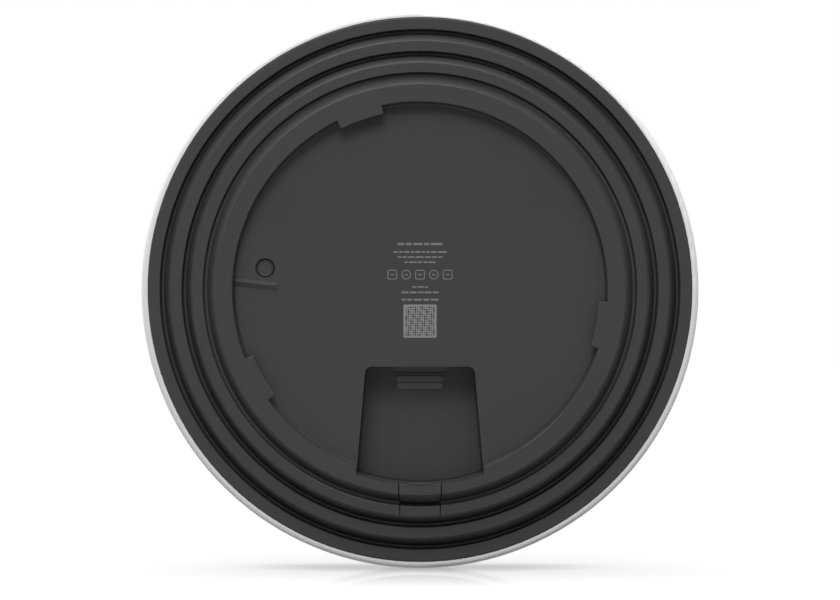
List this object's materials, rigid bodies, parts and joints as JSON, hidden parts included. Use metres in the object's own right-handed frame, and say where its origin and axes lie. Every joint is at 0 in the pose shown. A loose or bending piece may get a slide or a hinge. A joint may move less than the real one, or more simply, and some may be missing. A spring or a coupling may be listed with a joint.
{
  "type": "ceiling access point",
  "caption": "Round wireless access point with a white domed cover, a dark terraced rear housing, bayonet lugs, a cable pocket with a network jack, an exit door and a reset button.",
  "frame": {"origin": "centre of the rear mounting plane, where the disc's axis meets the flat ring that bears on the ceiling or wall", "axes": "-Y points out of the rear, towards the ceiling or wall and its bracket; +Y points out of the domed front; -Z is the way the cable leaves; +X is to the right seen from the rear with -Z down"},
  "size_m": [0.215, 0.0325, 0.215],
  "materials": {
    "housing_grey": "satin",
    "button_grey": "matte",
    "cover_white": "satin",
    "light_guide": "satin",
    "circuit_board": "satin",
    "black_plastic": "satin",
    "screw_steel": "satin",
    "led_lens": "gloss",
    "brass": "satin",
    "chip_black": "matte",
    "tinplate": "satin",
    "thermal_pad": "matte",
    "ferrite": "matte",
    "winding_tape": "satin",
    "capacitor_can": "satin",
    "bare_aluminium": "satin",
    "natural_plastic": "matte",
    "jack_steel": "satin",
    "gold_contacts": "gloss",
    "bezel_grey": "satin",
    "label_grey": "matte"
  },
  "bodies": {
    "housing": {"rear_housing": "housing_grey", "front_cover": "cover_white", "centre_cap": "cover_white", "light_guide": "light_guide", "led_board": "circuit_board", "main_board": "circuit_board", "led_connector": "black_plastic", "led_screws": "screw_steel", "board_screws": "screw_steel", "status_leds": "led_lens", "board_spacers": "brass", "processor_chip": "chip_black", "ethernet_chip": "chip_black", "radio_chips": "chip_black", "memory_chips": "chip_black", "processor_shield_frame": "tinplate", "processor_shield_lid": "tinplate", "radio_shield_frames": "tinplate", "radio_shield_lids": "tinplate", "processor_pad": "thermal_pad", "ethernet_pad": "thermal_pad", "radio_pads": "thermal_pad", "lan_magnetics": "chip_black", "poe_transformer_core": "ferrite", "poe_transformer_winding": "winding_tape", "power_inductors": "ferrite", "bulk_capacitors": "capacitor_can", "antenna_reflector": "bare_aluminium", "antenna_supports": "natural_plastic", "antenna_2g_elements": "tinplate", "antenna_5g_elements": "tinplate", "antenna_6g_elements": "tinplate", "jack_shell": "jack_steel", "jack_insert": "black_plastic", "jack_contacts": "gold_contacts", "jack_bezel": "bezel_grey", "port_labels": "label_grey", "reset_switch": "black_plastic"},
    "exit_door": {"cable_exit_door": "housing_grey"},
    "reset_key": {"reset_button": "button_grey", "switch_plunger": "black_plastic"}
  },
  "joints": [
    {"name": "reset_press", "type": "slide", "parent": "housing", "child": "reset_key", "axis": [0, 1, 0], "range_m": [0, 0.0006], "stiffness_N_per_m": 1500, "springref_m": -0.0003},
    {"name": "exit_door_slide", "type": "slide", "parent": "housing", "child": "exit_door", "axis": [0, -1, 0], "range_m": [0, 0.015]}
  ]
}
